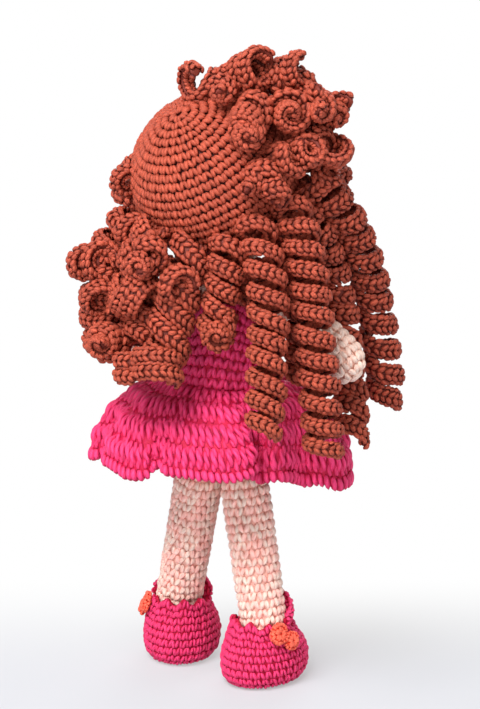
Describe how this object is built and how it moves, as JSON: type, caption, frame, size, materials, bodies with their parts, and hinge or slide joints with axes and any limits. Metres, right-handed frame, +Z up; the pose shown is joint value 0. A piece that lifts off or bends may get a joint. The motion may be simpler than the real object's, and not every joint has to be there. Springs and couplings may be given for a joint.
{
  "type": "amigurumi doll",
  "caption": "Crocheted amigurumi doll standing in a flared dress and strap slippers, with a wig of spiral ringlets, a turning head, raising arms and swinging legs.",
  "frame": {"origin": "centre of the bottom of the doll's box, on the floor under the shoes", "axes": "+Z up, the doll faces -Y and its left side is +X"},
  "size_m": [0.13, 0.1176, 0.2765],
  "materials": {
    "skin_yarn": "crocheted cream yarn",
    "hair_yarn": "crocheted russet yarn",
    "dress_yarn": "crocheted hot pink yarn",
    "bow_yarn": "crocheted orange yarn",
    "filling": "loose white polyester fibre",
    "mouth_yarn": "embroidered red strand",
    "eye_plastic": "black, polished",
    "washer_plastic": "white, moulded"
  },
  "bodies": {
    "body": {"torso": "skin_yarn", "torso_stuffing": "filling", "dress_bodice": "dress_yarn", "dress_skirt": "dress_yarn"},
    "head": {"head": "skin_yarn", "head_stuffing": "filling", "hair_cap": "hair_yarn", "eye_left": "eye_plastic", "eye_right": "eye_plastic", "eye_washer_left": "washer_plastic", "eye_washer_right": "washer_plastic", "nose": "skin_yarn", "mouth": "mouth_yarn", "ringlet_back_a": "hair_yarn", "ringlet_back_b": "hair_yarn", "ringlet_side_d": "hair_yarn", "ringlet_side_e": "hair_yarn", "ringlet_nape_f": "hair_yarn", "ringlet_nape_g": "hair_yarn", "ringlet_nape_h": "hair_yarn", "ringlet_side_i": "hair_yarn", "ringlet_side_j": "hair_yarn", "ringlet_front_left_a": "hair_yarn", "ringlet_front_left_b": "hair_yarn", "ringlet_front_right": "hair_yarn", "curl_crown_a": "hair_yarn", "curl_crown_b": "hair_yarn", "curl_crown_c": "hair_yarn", "curl_crown_d": "hair_yarn", "curl_crown_e": "hair_yarn", "curl_crown_f": "hair_yarn", "curl_temple_g": "hair_yarn", "curl_temple_h": "hair_yarn", "curl_temple_i": "hair_yarn", "curl_temple_j": "hair_yarn", "curl_fringe_a": "hair_yarn", "curl_fringe_b": "hair_yarn"},
    "arm_left": {"arm_left": "skin_yarn", "arm_stuffing_left": "filling"},
    "arm_right": {"arm_right": "skin_yarn", "arm_stuffing_right": "filling"},
    "leg_left": {"leg_left": "skin_yarn", "leg_stuffing_left": "filling", "shoe_left": "dress_yarn", "shoe_strap_left": "dress_yarn", "shoe_bow_left": "bow_yarn"},
    "leg_right": {"leg_right": "skin_yarn", "leg_stuffing_right": "filling", "shoe_right": "dress_yarn", "shoe_strap_right": "dress_yarn", "shoe_bow_right": "bow_yarn"}
  },
  "joints": [
    {"name": "head_turn", "type": "hinge", "parent": "body", "child": "head", "pos_m": [-0.00218, -0.00024, 0.193], "axis": [-0.0686, 0, 0.9976], "range_deg": [-20, 20], "deforming": ["ringlet_back_a", "ringlet_back_b", "ringlet_side_d", "ringlet_side_e", "ringlet_nape_f", "ringlet_nape_g", "ringlet_nape_h", "ringlet_side_i", "ringlet_side_j", "ringlet_front_left_a", "ringlet_front_left_b", "ringlet_front_right"]},
    {"name": "arm_raise_left", "type": "hinge", "parent": "body", "child": "arm_left", "pos_m": [0.01692, -0.00024, 0.1785], "axis": [0, -1, 0], "range_deg": [-4, 40]},
    {"name": "arm_raise_right", "type": "hinge", "parent": "body", "child": "arm_right", "pos_m": [-0.01928, -0.00024, 0.1785], "axis": [0, 1, 0], "range_deg": [-4, 40]},
    {"name": "leg_swing_left", "type": "hinge", "parent": "body", "child": "leg_left", "pos_m": [0.01682, -0.00024, 0.084], "axis": [1, 0, 0], "range_deg": [-35, 20]},
    {"name": "leg_swing_right", "type": "hinge", "parent": "body", "child": "leg_right", "pos_m": [-0.00618, -0.00024, 0.084], "axis": [1, 0, 0], "range_deg": [-35, 20]}
  ]
}
